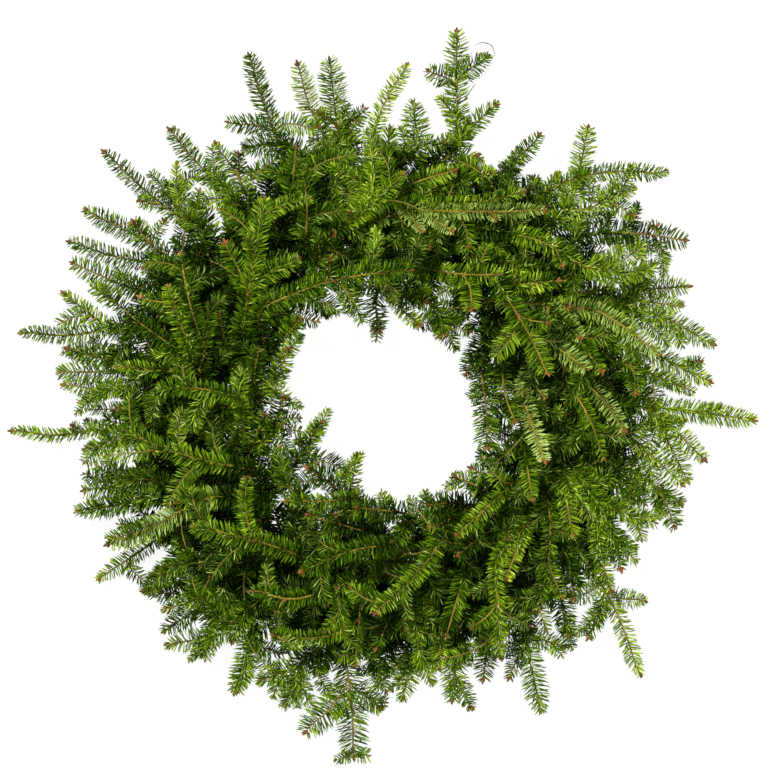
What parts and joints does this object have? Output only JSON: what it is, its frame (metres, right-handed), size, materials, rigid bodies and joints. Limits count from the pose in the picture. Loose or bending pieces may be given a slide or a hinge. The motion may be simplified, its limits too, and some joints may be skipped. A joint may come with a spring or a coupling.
{
  "type": "evergreen wreath",
  "caption": "Round wreath of fresh-cut fir sprays with short flat needles and resinous buds, tied in overlapping bunches that all lie clockwise on a flat wire ring.",
  "frame": {"origin": "middle of the underside of the whole outline, on the surface that the wreath lies on", "axes": "+Z out of the front of the wreath, +Y towards its top, +X to the right as seen from the front"},
  "size_m": [0.613, 0.6006, 0.1108],
  "materials": {
    "fir": "glossy dark and yellow-green needles, paler silvery green beneath, on olive-brown twigs with reddish resin buds",
    "ring_wire": "dark green enamel, semi-gloss",
    "binding_wire": "plain grey florist's wire, dull"
  },
  "bodies": {
    "root": {"wire_ring": "ring_wire", "binding_wire": "binding_wire", "fir_bunch_01": "fir", "fir_bunch_02": "fir", "fir_bunch_03": "fir", "fir_bunch_04": "fir", "fir_bunch_05": "fir", "fir_bunch_06": "fir", "fir_bunch_07": "fir", "fir_bunch_08": "fir", "fir_bunch_09": "fir", "fir_bunch_10": "fir", "fir_bunch_11": "fir", "fir_bunch_12": "fir", "fir_bunch_13": "fir", "fir_bunch_14": "fir", "fir_bunch_15": "fir", "fir_bunch_16": "fir", "fir_bunch_17": "fir", "fir_bunch_18": "fir", "fir_bunch_19": "fir", "fir_bunch_20": "fir"}
  },
  "joints": []
}
